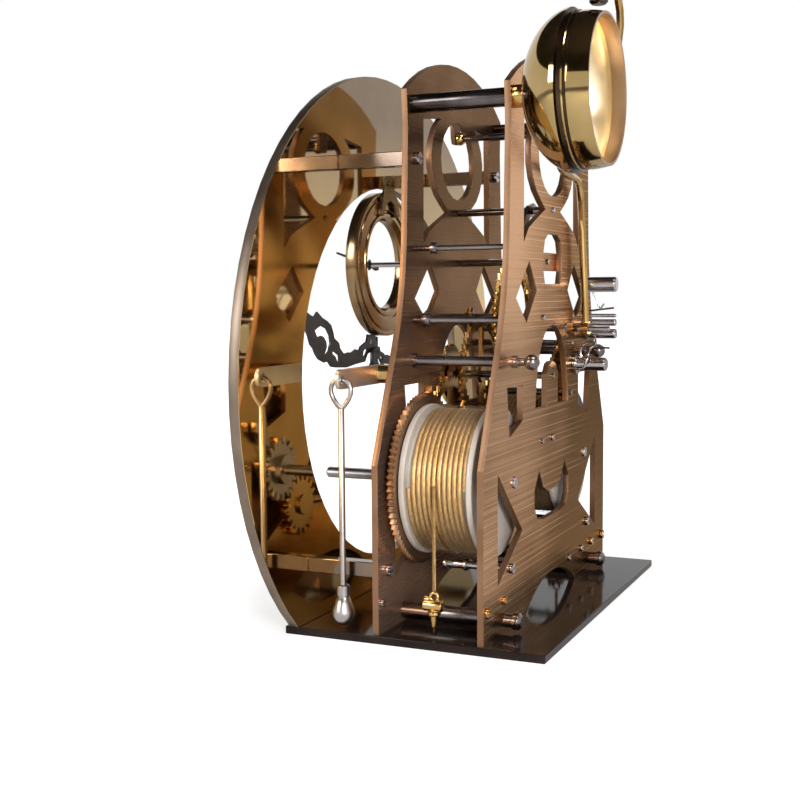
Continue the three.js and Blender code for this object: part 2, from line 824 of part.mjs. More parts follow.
// Hands. The arm's edge with the hand at ten past: out from the hub along its upper side, round the point,
// and back along its lower side.
const handArm = [
  [-4.8, 9.6],
  [-4.9, 14.9],
  [0.9, 16.2],
  [5.3, 16.4],
  [6.4, 13.4],
  [12.3, 11.5],
  [13.6, 9.9],
  [17.3, 10.6],
  [20.9, 9.4],
  [24.5, 9.6],
  [28, 9.1],
  [31.4, 11.5],
  [32.5, 13.9],
  [36.5, 15.8],
  [37.5, 18.4],
  [39.2, 21.1],
  [42.5, 22.9],
  [46.8, 24.3],
  [51.1, 26.8],
  [53.8, 24.7],
  [57.4, 25.8],
  [66, 29.6],
  [80, 36],
  [95, 42.3],
  [80, 34.4],
  [66, 26.4],
  [59, 17.6],
  [57.2, 14.1],
  [54.7, 12.4],
  [53.1, 10.2],
  [50.5, 8],
  [45.7, 6.4],
  [42.3, 6.7],
  [39.6, 4.4],
  [35.1, 3.8],
  [25.8, 3.3],
  [17.4, 4.2],
  [8.1, 4.8],
  [5.5, 7.9],
  [1.7, 9],
];
const handHub = 4.6;
function handOutline(length, turnedOver) {
  const hub = [64, 20, -20, -60, -100, -140, 180, 150, 116].map((d) => step([0, 0], handHub, d));
  const whole = [...hub, ...handArm.map(([x, z]) => [x * length, z * length])];
  return polygonShape(turnedOver ? whole.map(mirror) : whole);
}
const hourLength = 0.66; // of the minute hand
const handHole = (r) => hole([0, 0], clearing(r, 0));
{
  const shape = handOutline(1, false);
  shape.holes.push(handHole(centreArbor + running));
  place("minute_hand", slab(shape, handPlane - handThickness, handPlane), black, centreAt);
}
const pipeBore = centreArbor + running;
const pipeOuter = pipeBore + 1;
const hourBack = -plateOut - lift;
{
  const shape = handOutline(hourLength, true);
  shape.holes.push(handHole(pipeOuter + running));
  place("hour_hand", slab(shape, hourPlane - handThickness, hourPlane), black, centreAt);
}
{
  const bore = clearing(centreArbor);
  const pipe = turnedRing(
    [
      [bore, hourPlane - handThickness],
      [pipeOuter, hourPlane - handThickness],
      [pipeOuter, hourBack],
      [bore, hourBack],
    ],
    holeSides,
  );
  const wheel = pointed(40, 0.6, 0);
  wheel.holes.push(hole([0, 0], pipeOuter - 0.2));
  place("hour_wheel", pipe.add(slab(wheel, hourBack - 1.6, hourBack)), gold, centreAt);
}
{
  const pointer = [
    [-9, 0.9],
    [-6, 1.6],
    [-2, 0.9],
    [0, 2.4],
    [2, 0.8],
    [31, 0.35],
  ];
  const edge = (side) => pointer.map(([u, w]) => step(step([0, 0], u, 8), side * w, 98));
  const shape = polygonShape([...edge(-1), ...edge(1).reverse()]);
  shape.holes.push(handHole(pivot + running));
  const plane = handPlane - 1.2;
  place("seconds_hand", slab(shape, plane - 0.7, plane), black, escapeAt);
}

// Bell on its post, open towards the back.
{
  const outer = [
    ...[88, 76, 62, 48, 34, 20, 8].map((d) => [
      bellRadius * Math.cos(rad(d)),
      bellEquator - (bellEquator - bellApex) * Math.sin(rad(d)),
    ]),
    [bellRadius, bellEquator],
    [bellRadius, bellEquator + 1.6],
    [bellRadius - 0.5, bellEquator + 4.6],
    [bellMouth, bellEnd],
  ];
  const bore = screw + 0.5;
  const inner = outer.slice(1).map(([r, y]) => [r - bellWall, Math.min(y + bellWall * 0.8, bellEnd)]);
  const profile = [[bore, bellApex], ...outer.slice(1), ...inner.reverse(), [bore, bellApex + bellWall]];
  place("bell", turnedRing(profile, 28), gold, topPillar);
  const post = [
    ...collar(screw, plateIn, plateOut),
    ...collar(4.2, plateOut, bellApex),
    ...collar(screw, bellApex, bellApex + bellWall + gap),
    ...collar(3.4, bellApex + bellWall + gap, bellApex + bellWall + 3),
    [2, bellApex + bellWall + 4],
  ];
  place("bell_post", turned(post), gold, topPillar);
}

// Hammer: arbor with its tail between the plates, bent arm behind the back plate, and head.
{
  const aim = (Math.atan2(strikeAt[1] - hammerPivot[1], strikeAt[0] - hammerPivot[0]) * 180) / Math.PI;
  const far = Math.hypot(strikeAt[0] - hammerPivot[0], strikeAt[1] - hammerPivot[1]);
  const tailLength = far - pinCircle - 0.7 - lift;
  const tail = [
    [-3, -2],
    [tailLength, -1.1],
    [tailLength, 1.1],
    [-3, 2],
  ].map(([u, v]) => step(step([0, 0], u, aim), v, aim + 90));
  const tailSlab = slab(new THREE.Shape(vectors(tail)), strikeLayer[1] + 0.3, plateIn - 0.5);
  const eyeFront = hammerPlane - 1.5;
  const profile = [
    ...collar(pivot, -plateOut - proud, -plateIn + shoulderGap),
    ...collar(arbor, -plateIn + shoulderGap, plateIn - shoulderGap),
    ...collar(pivot, plateIn - shoulderGap, plateOut + 14),
  ];
  place("hammer_arbor", arborWith(profile, tailSlab), steel, hammerPivot);

  const headAt = [50, bellEnd - 3, topPillar[1] + bellRadius + 3.4];
  const [hx, hz] = hammerPivot;
  const armRadius = 1.6;
  const route = [
    [hx - 0.4, hammerPlane, hz - 2.6],
    [hx + 1.2, hammerPlane, hz + 8],
    [hx + 9, hammerPlane, hz + 55],
    [hx + 14, hammerPlane, hz + 62],
    [2, hammerPlane + 0.4, 173.5],
    [9, hammerPlane + 6, 178],
    [12, hammerPlane + 19, 196],
    [16, headAt[1] - 1, 221],
    [26, headAt[1], 236],
    [42, headAt[1], 240],
    [headAt[0] - 0.6, headAt[1], 238.6],
    [headAt[0], headAt[1], headAt[2] + 4.6],
  ].map(([x, y, z]) => [x - hx, y, z - hz]);
  const eye = turned(collar(3.2, eyeFront, eyeFront + 3));
  const bore = turned(collar(clearing(pivot, gap), eyeFront - 1, eyeFront + 4));
  place("hammer_arm", bar(route, armRadius, 36).add(eye).subtract(bore), gold, hammerPivot);
  const head = [
    [2.4, -4],
    [3.4, -3],
    [3.4, 3.2],
    [2.6, 4.3],
  ];
  place("hammer_head", upright(head, 12), dark, [headAt[0], headAt[2]], headAt[1]);
}

// Posts behind the back plate: the hammer's stop, its spring's post, and a lower post with a collar.
const rearLength = 14;
const rearPost = (r, root) => [
  ...collar(r + root, plateOut, plateOut + 1.4),
  ...collar(r, plateOut + 1.4, plateOut + rearLength - 0.6),
  [r - 0.5, plateOut + rearLength],
];
place("hammer_stop", turned(rearPost(3.3, 0.4)), steel, [-49, 128]);
const springPostAt = [-49, 106.5];
const lowerPostAt = [-32.5, 94];
place("spring_post", turned(rearPost(2.2, 0.4)), steel, springPostAt);
place("lower_post", turned(rearPost(2.9, 1.6)), steel, lowerPostAt);
{
  const wire = 0.5;
  const route = [
    [-44, plateOut, 106],
    [-44, plateOut + 5, 106],
    [-40.5, plateOut + 7, 103],
    [-36.5, plateOut + 7, 101.4],
    [-30.5, plateOut + 7, 100.4],
    [-27, plateOut + 7, 96.6],
    [-27, plateOut + 5, 92.4],
    [-27, plateOut, 92.4],
  ];
  place("hammer_spring", bar(route, wire, 24, 5), steel);
}

// Repeat lever on its post in front of the front plate, and the pull rod hooked through its end.
const leverThickness = 1.6;
const leverHole = 1.7;
{
  const [x, z] = [midPillar[0], leverHeight];
  const post = 1.9;
  const end = leverReach + 3.4;
  const outline = new THREE.Shape();
  outline.moveTo(-leverHalf, -leverHalf);
  outline.lineTo(end - 3, -leverHalf);
  outline.quadraticCurveTo(end, -leverHalf, end, 0);
  outline.quadraticCurveTo(end, leverHalf, end - 3, leverHalf);
  outline.lineTo(-leverHalf, leverHalf);
  const half = leverThickness / 2;
  const hubBack = -plateOut - gap;
  const arm = slab(outline, leverPlane - half, leverPlane + half, 4);
  const hub = turned(collar(leverHalf, leverPlane, hubBack), 12);
  const bore = turned(collar(clearing(post), leverPlane - 2, hubBack + 1), holeSides);
  const eye = turned(collar(leverHole, leverPlane - 2, leverPlane + 2)).translate([leverReach, 0, 0]);
  place("repeat_lever", arm.add(hub).subtract(bore).subtract(eye), steel, [x, z]);
  place("lever_post", turned(collar(post, leverPlane - 2, -plateOut)), steel, [x, z]);

  // A closed wire loop through the lever's hole, the rod below it, a collar and a pear-shaped bob.
  const wire = 0.75;
  const loopTop = z - leverHole + wire + 0.95;
  const loopBottom = loopTop - 11;
  const rodX = x + leverReach;
  const loop = [
    [0, -3.4, loopBottom + 4],
    [0, -4.3, loopBottom + 7],
    [0, -2.9, loopTop - 0.9],
    [0, 0, loopTop],
    [0, 2.9, loopTop - 0.9],
    [0, 4.3, loopBottom + 7],
    [0, 3.4, loopBottom + 4],
    [0, 0, loopBottom],
  ].map((p) => new THREE.Vector3(...p));
  const ring = Array.from({ length: 6 }, (_, i) => step([0, 0], wire, 60 * i));
  const loopSolid = solid(
    new THREE.ExtrudeGeometry(new THREE.Shape(vectors(ring)), {
      extrudePath: new THREE.CatmullRomCurve3(loop, true),
      steps: 20,
      bevelEnabled: false,
    }),
  );
  const rod = upright([
    [1, rodBottom],
    [3.6, rodBottom + 1.2],
    [4.3, rodBottom + 4],
    [3.4, rodBottom + 8],
    [2, rodBottom + 11.6],
    [2.6, rodBottom + 12.4],
    [2.6, rodBottom + 15],
    [1.2, rodBottom + 15.6],
    [1.2, loopBottom],
    [0.9, loopBottom + 0.4],
  ]);
  place("pull_rod", rod.add(loopSolid), steel, [rodX, 0], leverPlane);
}

// Free ends of the cables: a straight drop beside each drum, and the fitting it ends in.
for (const [hand, at] of sides) {
  const fittingTop = 17;
  const dropAt = at([barrelAt[0] + dropOffset, 0]);
  const drop = upright(collar(cable / 2, fittingTop, barrelAt[1] + 1.5), 8);
  place(`cable_drop_${hand}`, drop, gold, dropAt, dropPlane);
  const fitting = upright([
    [0.4, 0.9],
    [1.5, 5],
    [1.7, 7.4],
    [2.8, 7.6],
    [2.8, 9],
    [3.7, 9.4],
    [3.7, 13],
    [2.2, 13.6],
    [2.7, 15],
    [2.2, 16.4],
    [1.3, fittingTop],
  ]);
  place(`cable_hook_${hand}`, fitting, gold, dropAt, dropPlane);
}

export default part;
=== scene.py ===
import math

import bmesh
import bpy
from mathutils import Matrix, Vector


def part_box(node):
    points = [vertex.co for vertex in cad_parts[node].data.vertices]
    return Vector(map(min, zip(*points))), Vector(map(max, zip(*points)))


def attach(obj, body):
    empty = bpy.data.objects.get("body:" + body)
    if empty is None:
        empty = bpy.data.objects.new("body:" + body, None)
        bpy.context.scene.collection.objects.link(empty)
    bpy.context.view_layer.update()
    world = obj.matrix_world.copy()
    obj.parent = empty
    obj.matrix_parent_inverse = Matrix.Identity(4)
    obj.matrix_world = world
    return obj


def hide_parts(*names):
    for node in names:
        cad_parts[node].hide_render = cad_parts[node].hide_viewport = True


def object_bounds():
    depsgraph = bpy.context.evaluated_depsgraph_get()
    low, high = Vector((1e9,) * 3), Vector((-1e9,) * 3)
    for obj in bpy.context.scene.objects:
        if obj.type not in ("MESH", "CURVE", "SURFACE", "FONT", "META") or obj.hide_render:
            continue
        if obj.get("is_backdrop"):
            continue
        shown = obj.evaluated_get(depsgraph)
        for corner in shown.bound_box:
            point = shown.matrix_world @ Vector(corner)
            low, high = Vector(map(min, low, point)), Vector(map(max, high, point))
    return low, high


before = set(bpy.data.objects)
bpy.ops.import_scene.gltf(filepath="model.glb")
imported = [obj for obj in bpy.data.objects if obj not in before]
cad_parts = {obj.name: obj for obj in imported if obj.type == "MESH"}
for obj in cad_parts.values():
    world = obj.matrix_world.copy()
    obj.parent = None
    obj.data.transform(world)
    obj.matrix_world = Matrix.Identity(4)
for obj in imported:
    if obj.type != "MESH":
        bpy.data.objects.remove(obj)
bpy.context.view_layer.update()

scene = bpy.context.scene
scene.view_settings.view_transform = "Standard"

# The camera stands behind the clock at its right, a little above the board, as a
# photographer would who wants to show the drums and the bell.
turn, dip, tilt = (math.radians(a) for a in (24.076, 4.924, -0.425))
ahead = Vector((-math.cos(turn) * math.cos(dip), -math.sin(turn) * math.cos(dip), -math.sin(dip)))
level = Vector((-math.sin(turn), math.cos(turn), 0))
above = level.cross(ahead)
right = level * math.cos(tilt) + above * math.sin(tilt)
upward = above * math.cos(tilt) - level * math.sin(tilt)
camera = bpy.data.objects.new("camera", bpy.data.cameras.new("camera"))
camera.data.sensor_width = 36
camera.data.lens = 55.4
camera.data.clip_start = 0.01
camera.matrix_world = Matrix((
    (right.x, upward.x, -ahead.x, 0.4814),
    (right.y, upward.y, -ahead.y, 0.1687),
    (right.z, upward.z, -ahead.z, 0.1275),
    (0, 0, 0, 1),
))
scene.collection.objects.link(camera)
scene.camera = camera


# Free cable ends: twisted brass wire cable that hangs from each drum, with a brass fitting
# at its end: an eye, a cross block, a turned barrel and a thin tip. A shader value adds and
# multiplies like a number, and lengths are in millimetres above the board's top face.
class Value:
    def __init__(self, tree, socket):
        self.tree, self.socket = tree, socket

    def node(self, kind, settings, sockets, out=0):
        made = self.tree.nodes.new(kind)
        for key, value in settings.items():
            setattr(made, key, value)
        for key, value in sockets.items():
            if isinstance(value, Value):
                self.tree.links.new(value.socket, made.inputs[key])
            else:
                made.inputs[key].default_value = value
        return Value(self.tree, made.outputs[out])

    def maths(self, operation, *values):
        return self.node("ShaderNodeMath", {"operation": operation}, dict(enumerate(values)))

    def __add__(self, other):
        return self.maths("ADD", self, other)

    def __sub__(self, other):
        return self.maths("SUBTRACT", self, other)

    def __rsub__(self, other):
        return self.maths("SUBTRACT", other, self)

    def __mul__(self, other):
        return self.maths("MULTIPLY", self, other)

    def clouds(self, scale, stretch=(1, 1, 1), detail=3):
        spread = self.node("ShaderNodeMapping", {}, {"Vector": self, "Scale": stretch})
        noise = {"Vector": spread, "Scale": scale, "Detail": detail}
        return spread.node("ShaderNodeTexNoise", {}, noise)

    def along(self, axis):
        return self.node("ShaderNodeSeparateXYZ", {}, {"Vector": self}, axis)

    def ranged(self, start, stop):
        limits = {"Value": self, "From Min": start, "From Max": stop}
        return self.node("ShaderNodeMapRange", {}, limits)

    def between(self, low, high):
        colours = {0: self.ranged(0.35, 0.65), 6: (*low, 1), 7: (*high, 1)}
        return self.node("ShaderNodeMix", {"data_type": "RGBA"}, colours, 2)

    def bump(self, strength):
        relief = {"Strength": strength, "Distance": 0.0001, "Height": self}
        return self.node("ShaderNodeBump", {}, relief)


def surface(name, **constants):
    material = bpy.data.materials.new(name)
    material.use_nodes = True
    tree = material.node_tree
    shader = tree.nodes["Principled BSDF"]
    for key, value in constants.items():
        shader.inputs[key.replace("_", " ")].default_value = value
    place = Value(tree, tree.nodes.new("ShaderNodeTexCoord").outputs["Object"])

    def feed(socket, value):
        tree.links.new(value.socket, shader.inputs[socket])

    return material, place, feed


def polished(name, low, high, shine, smear, **constants):
    material, place, feed = surface(name, **{"Metallic": 1.0, **constants})
    film = place.clouds(60, detail=4)
    feed("Base Color", film.between(low, high))
    feed("Roughness", film * smear + (shine - smear / 2))
    feed("Normal", place.clouds(900).bump(0.04))
    return material


MM = 0.001
BOARD_TOP = 3.0
WELD = 1e-7
SQUARE_ON = 0.9999
UPRIGHT = (0, 0, 1)
SIDES = (("r", 1), ("l", -1))


def spot(x, y, z):
    return Vector((x, y, z + BOARD_TOP)) * MM


def ease(bm, width, least=30, segments=2):
    least = math.radians(least)
    sharp = [e for e in bm.edges if len(e.link_faces) == 2 and e.calc_face_angle(0) > least]
    bmesh.ops.bevel(bm, geom=sharp, offset=width * MM, offset_type="OFFSET", segments=segments,
                    profile=0.5, affect="EDGES", clamp_overlap=True, material=-1)


def placed(bm, name, materials):
    mesh = bpy.data.meshes.new(name)
    bm.to_mesh(mesh)
    bm.free()
    for material in materials:
        mesh.materials.append(material)
    made = bpy.data.objects.new(name, mesh)
    scene.collection.objects.link(made)
    return made


def finished(bm, name, body, materials, nodes=(), smooth=40):
    bmesh.ops.remove_doubles(bm, verts=bm.verts, dist=WELD)
    bmesh.ops.recalc_face_normals(bm, faces=bm.faces)
    made = placed(bm, name, materials)
    made.data.shade_smooth()
    made.data.set_sharp_from_angle(angle=math.radians(smooth))
    for face in made.data.polygons:
        face.use_smooth = max(map(abs, face.normal)) < SQUARE_ON
    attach(made, body)
    if nodes:
        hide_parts(*nodes)
    return made


def lathe(bm, profile, centre, steps=40, axis=(0, 1, 0)):
    along = Vector(axis)
    points = [centre + (Vector((r, 0, 0)) + along * a) * MM for r, a in profile]
    verts = [bm.verts.new(p) for p in points]
    edges = [bm.edges.new(pair) for pair in zip(verts, verts[1:])]
    bmesh.ops.spin(bm, geom=verts + edges, cent=centre, axis=along, dvec=(0, 0, 0),
                   angle=math.tau, steps=steps, use_merge=True, use_duplicate=False)
    bmesh.ops.remove_doubles(bm, verts=bm.verts, dist=WELD)


def swept(bm, sides, radius, start, centre, axis, angle, steps, rise=(0, 0, 0)):
    ring = bmesh.ops.create_circle(bm, segments=sides, radius=radius * MM)["verts"]
    bmesh.ops.translate(bm, verts=ring, vec=start)
    edges = list({e for v in ring for e in v.link_edges})
    bmesh.ops.spin(bm, geom=ring + edges, cent=centre, axis=axis, dvec=rise, angle=angle,
                   steps=steps, use_merge=not any(rise), use_duplicate=False)


def arc(wide, deep, middle, angles):
    turns = [math.radians(a) for a in angles]
    return [(wide * math.cos(a), middle + deep * math.sin(a)) for a in turns]


def capped(profile):
    return [(0, profile[0][1]), *profile, (0, profile[-1][1])]


STRANDS, STRAND_SIDES, STRAND, STRAND_OUT, LAY = 6, 8, 0.27, 0.48, 9.0
DROP_X, DROP_Y = 76.12, 0.6
DROP_TOP, DROP_FOOT, DROP_STEPS = 55.5, 17.0, 40
DROP = DROP_TOP - DROP_FOOT
BLOCK_AT, KNOB, KNOB_AT, EYE, EYE_AT = 11.8, 1.3, 14.0, 1.5, 14.9
tip_and_barrel = [(0.7, 0.9), (0.7, 3.4), (1.4, 4.0), (1.7, 8.0), (2.4, 8.4), (2.4, 9.4),
                  (1.3, 9.8), (1.3, 11.5)]
cross_block = [(1.4, -4.3), (2.2, -3.7), (2.2, 3.1), (1.4, 3.7)]
# painted shade: the hanging cable is a darker copy of the wound cable's brass
shaded_end_brass, place, feed = surface("cable end, brass wire, painted shade", Metallic=1.0)
wires = place.clouds(1, (1500, 1500, 500), 2)
feed("Base Color", wires.between((0.29, 0.175, 0.065), (0.43, 0.275, 0.115)))
feed("Roughness", wires * 0.16 + 0.4)
wheel_gold = polished("wheel brass", (0.5, 0.31, 0.11), (0.64, 0.42, 0.17), 0.2, 0.14)
for hand, sign in SIDES:
    x = sign * DROP_X
    foot = spot(x, DROP_Y, DROP_FOOT)
    bm = bmesh.new()
    for k in range(STRANDS):
        angle = math.tau * k / STRANDS
        out = Vector((math.cos(angle), math.sin(angle), 0)) * STRAND_OUT * MM
        swept(bm, STRAND_SIDES, STRAND, foot + out, foot, UPRIGHT, math.tau * DROP / LAY,
              DROP_STEPS, (0, 0, DROP * MM / DROP_STEPS))
    bmesh.ops.holes_fill(bm, edges=bm.edges, sides=STRAND_SIDES)
    drop = finished(bm, f"cable_end_{hand}", "frame", [shaded_end_brass],
                    [f"cable_drop_{hand}"])
    bm = bmesh.new()
    lathe(bm, capped(tip_and_barrel), spot(x, DROP_Y, 0), 28, UPRIGHT)
    lathe(bm, capped(cross_block), spot(x, DROP_Y, BLOCK_AT), 28)
    lathe(bm, arc(KNOB, KNOB, 0, range(-90, 91, 15)), spot(x, DROP_Y - 3.0, KNOB_AT), 20)
    ease(bm, 0.1, 35)
    eye = spot(x, DROP_Y, EYE_AT)
    swept(bm, 12, 0.6, eye + Vector((0, EYE * MM, 0)), eye, (1, 0, 0), math.tau, 28)
    hook = finished(bm, f"cable_fitting_{hand}", "frame", [wheel_gold],
                    [f"cable_hook_{hand}"])
    spot(x, DROP_Y, DROP_TOP)
    [spot(x, DROP_Y, DROP_TOP - DROP * t / 12) for t in range(13)]


# Display board: a thin slab, lacquered black and polished to a mirror, with slightly eased
# edges. The movement stands on it.
CAD_WELD = 2e-6
NEARLY_LEVEL = math.radians(0.4)


def dressed(node, body, materials, width, smooth=40, sheet=False, arbor=None):
    bm = bmesh.new()
    bm.from_mesh(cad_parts[node].data)
    bmesh.ops.remove_doubles(bm, verts=bm.verts, dist=CAD_WELD)
    bmesh.ops.dissolve_limit(bm, angle_limit=NEARLY_LEVEL, verts=bm.verts, edges=bm.edges)
    if width:
        ease(bm, width)
    bm.normal_update()
    if sheet:
        for face in bm.faces:
            across = face.normal.y
            face.material_index = 1 if abs(across) < 0.9 else 0 if across > 0 else 2
    if arbor:
        x, z, radius = arbor
        for face in bm.faces:
            middle = face.calc_center_median() - spot(x, 0, z)
            face.material_index = 1 if math.hypot(middle.x, middle.z) < radius * MM else 0
    finished(bm, node + "_finish", body, materials, [node], smooth)


black_gloss = polished("board, black gloss", (0.012, 0.008, 0.007), (0.02, 0.014, 0.012),
                       0.08, 0.06, Metallic=0.0, Specular_IOR_Level=0.09)
dressed("base_board", "frame", [black_gloss], 0.3)

# Movement plates: thick brass sheet, pierced and brushed level, with dull cut edges; the
# cock across the back plate's upper window carries the escape wheel. Slotted screws hold
# the dial feet and the small posts.
IN, OUT = 19.2, 21.6
LEVEL_GRAIN = (5, 5, 1500)
STROKES = 420
ROSY = (0.9, 0.66, 0.48, 1)
SLOT_SHARE = 0.2


def brushed(name, low, high, shine, grain):
    material, place, feed = surface(name, Metallic=1.0, Specular_Tint=ROSY)
    lines = place.clouds(1, grain, 2)
    film = place.clouds(14, detail=2)
    height = place.along(2)
    # brush lines every 2.4 mm in patches: real grain, painted lighter as glints
    stroke = height.maths("FRACT", height * STROKES)
    patches = place.clouds(1, (14, 14, STROKES), 2).ranged(0.36, 0.6)
    ruled_glints = (1 - stroke.ranged(0.06, 0.2)) * patches
    # painted shade: the brass is darker towards -X; it is also darker towards the bottom
    painted_shade_and_low_dark = place.along(0).ranged(-0.08, 0.05) * 0.42 + height.ranged(0.03, 0.12) * 0.12 - 0.35
    shade = lines * 0.34 + film * 0.4 + painted_shade_and_low_dark + ruled_glints * 0.26 + 0.1
    feed("Base Color", shade.between(low, high))
    feed("Roughness", lines * 0.24 + film * 0.1 + (shine - 0.17))
    feed("Normal", lines.bump(0.12))
    return material


plate_face = brushed("plate brass, brushed, painted shade", (0.12, 0.078, 0.054), (0.72, 0.48, 0.33), 0.25,
                     LEVEL_GRAIN)
# painted shade: the plates' inside faces are a darker copy of the plate brass, for the shade
# between the plates
inner_face, place, feed = surface("front plate brass, inside, painted shade and light", Metallic=0.85, Specular_Tint=ROSY)
lines = place.clouds(1, LEVEL_GRAIN, 2)
# painted light: the inside faces are lighter towards the bottom
painted_light_low = place.along(2).ranged(0.16, 0.05)
shade = lines * 0.1 + place.clouds(25) * 0.24 + painted_light_low * 0.26 + 0.19
feed("Base Color", shade.between((0.085, 0.052, 0.036), (0.46, 0.29, 0.2)))
feed("Roughness", lines * 0.12 + 0.2)
front_face = polished("front plate brass, dial side", (0.6, 0.38, 0.15), (0.68, 0.44, 0.19),
                      0.2, 0.08)
plate_edge = polished("plate brass, cut edge", (0.22, 0.12, 0.065), (0.28, 0.16, 0.095), 0.48, 0.1)
bright_steel = polished("polished steel", (0.36, 0.33, 0.33), (0.48, 0.45, 0.45), 0.16, 0.1)
dressed("front_plate", "frame", [inner_face, plate_edge, front_face], 0.18,
        sheet=True)
for node in ("back_plate", "escape_cock"):
    dressed(node, "frame", [plate_face, plate_edge, inner_face], 0.18, sheet=True)


def collar(radius, start, stop):
    return [(radius, start), (radius, stop)]


def thicken(bm, faces, thick):
    grown = bmesh.ops.extrude_face_region(bm, geom=faces)["geom"]
    verts = [v for v in grown if isinstance(v, bmesh.types.BMVert)]
    bmesh.ops.translate(bm, verts=verts, vec=(0, thick * MM, 0))


def screw(bm, at, radius, height):
    lean = math.asin(SLOT_SHARE)
    angles = [lean + (math.pi - 2 * lean) * i / 8 for i in range(9)]
    for half in (1, -1):
        rim = [at + Vector((math.cos(a), 0, half * math.sin(a))) * radius * MM for a in angles]
        thicken(bm, [bm.faces.new([bm.verts.new(p) for p in rim])], height)
    lathe(bm, capped(collar(radius * 0.97, 0, height * 0.55)), at, 20)


def screws(name, material, heads):
    bm = bmesh.new()
    for x, y, z, radius, height in heads:
        screw(bm, spot(x, y, z), radius, height)
    ease(bm, 0.12, 40)
    finished(bm, name, "frame", [material])


screws("plate_screws_steel", bright_steel, [
    (0, OUT, 65.7, 1.3, 0.9), (51.8, OUT, 22.2, 1.9, 1.2), (-51.8, OUT, 22.2, 1.9, 1.2),
    (-43.5, OUT, 11.5, 1.4, 0.9), (-24.8, OUT, 10.9, 1.4, 0.9),
    (73, -IN, 22.5, 2.3, 1.8), (-73, -IN, 22.5, 2.3, 1.8),
    (44, -IN, 176, 2.3, 1.8), (-44, -IN, 176, 2.3, 1.8), (78.6, -IN, 11.4, 1.4, 1.2)])
screws("plate_screws_brass", wheel_gold, [
    (77.9, OUT, 11.4, 2.0, 1.3), (-77.9, OUT, 11.4, 2.0, 1.3),
    (59.6, OUT, 11.7, 1.6, 1.1), (-59.6, OUT, 11.7, 1.6, 1.1)])

# Dial plate: heavy brass sheet with a wide round opening, polished behind, and held on
# the front plate by four square feet. Its front carries twelve plain black hour marks.
DIAL_FRONT, CENTRE, MARKS = -55.4, 91, 12
dial_gold, place, feed = surface("dial brass, polished, painted shade at top", Metallic=1.0)
film = place.clouds(60, detail=4)
# painted shade: the polished brass is darker towards the top
painted_top_shade = place.along(2).ranged(0.12, 0.2) * 0.26 + film * 0.06 + 0.34
feed("Base Color", painted_top_shade.between((0.76, 0.51, 0.21), (0.2, 0.142, 0.098)))
feed("Roughness", film * 0.04 + 0.02)
dial_edge = polished("dial brass, cut edge", (0.2, 0.155, 0.115), (0.28, 0.215, 0.165), 0.42, 0.08)
dressed("dial_plate", "frame", [dial_gold, dial_edge, dial_gold], 0.25, 30,
        sheet=True)
foot_brass = polished("dial foot, dull brass", (0.2, 0.15, 0.115), (0.27, 0.2, 0.155), 0.14, 0.08)
for height in ("upper", "lower"):
    for hand, _ in SIDES:
        dressed(f"dial_foot_{height}_{hand}", "frame", [foot_brass], 0.3)
hand_black = polished("hands, black lacquer", (0.012, 0.012, 0.014), (0.03, 0.03, 0.034),
                      0.34, 0.1, Metallic=0.0)


def marks(name, middle, inner, outer, width, front, thick):
    bm = bmesh.new()
    for k in range(MARKS):
        bar = bmesh.ops.create_cube(bm, size=MM)["verts"]
        bmesh.ops.scale(bm, verts=bar, vec=(width, thick, outer - inner))
        bmesh.ops.translate(bm, verts=bar, vec=(0, 0, (inner + outer) / 2 * MM))
        bmesh.ops.rotate(bm, verts=bar, cent=(0, 0, 0),
                         matrix=Matrix.Rotation(math.tau * k / MARKS, 3, "Y"))
        bmesh.ops.translate(bm, verts=bar, vec=spot(0, front - thick / 2, middle))
    ease(bm, 0.1)
    finished(bm, name, "frame", [hand_black])


marks("hour_marks", CENTRE, 80.6, 88.6, 3.0, DIAL_FRONT, 0.5)


# Seconds ring: a turned brass ring with two grooves behind, hung in the dial's opening by
# a flat bracket with two legs and two screws. Its front has twelve small marks.
def turned(name, body, material, profile, x, z, nodes=(), steps=40, width=0.12):
    bm = bmesh.new()
    lathe(bm, profile, spot(x, 0, z), steps)
    ease(bm, width, 35)
    finished(bm, name, body, [material], nodes)


def sheet_of(bm, outline, holes, x, y, z, thick):
    edges = []
    for loop in (outline, *holes):
        verts = [bm.verts.new(spot(x + u, y, z + v)) for u, v in loop]
        edges += [bm.edges.new(pair) for pair in zip(verts, verts[1:] + verts[:1])]
    made = bmesh.ops.triangle_fill(bm, use_beauty=True, use_dissolve=False, edges=edges)["geom"]
    thicken(bm, [f for f in made if isinstance(f, bmesh.types.BMFace)], thick)
    bmesh.ops.dissolve_limit(bm, angle_limit=NEARLY_LEVEL, verts=bm.verts, edges=bm.edges)


RING_FRONT, RING_BACK, RING_AT = -56.7, -51.7, 137
RING_BORE, RING_WIDE = 18.6, 30.4
BRACKET = 1.7
grooves = [(29.2, 0), (28.9, -0.5), (27.9, -0.5), (27.6, 0), (23.2, 0), (22.9, -0.6),
           (21.9, -0.6), (21.6, 0), (20.2, 0), (RING_BORE, -1.6)]
profile = [(RING_BORE, RING_FRONT), (RING_WIDE, RING_FRONT), (RING_WIDE, RING_BACK),
           *[(r, RING_BACK + a) for r, a in grooves], (RING_BORE, RING_FRONT)]
ring_brass = polished("seconds ring brass", (0.28, 0.175, 0.085), (0.4, 0.26, 0.135), 0.17, 0.1)
turned("seconds_ring_finish", "frame", ring_brass, profile, 0, RING_AT,
       ["seconds_ring"], steps=96)
bracket_brass = brushed("ring bracket, dull brass", (0.14, 0.1, 0.06), (0.24, 0.18, 0.11), 0.36,
                        (30, 30, 900))
bm = bmesh.new()
leg = [(5, 37), (4.2, 31.5), (7.6, 27.5), (9.6, 20.6), (6.8, 20.2), (3.8, 25.4)]
other_leg = [(-u, v) for u, v in reversed(leg)]
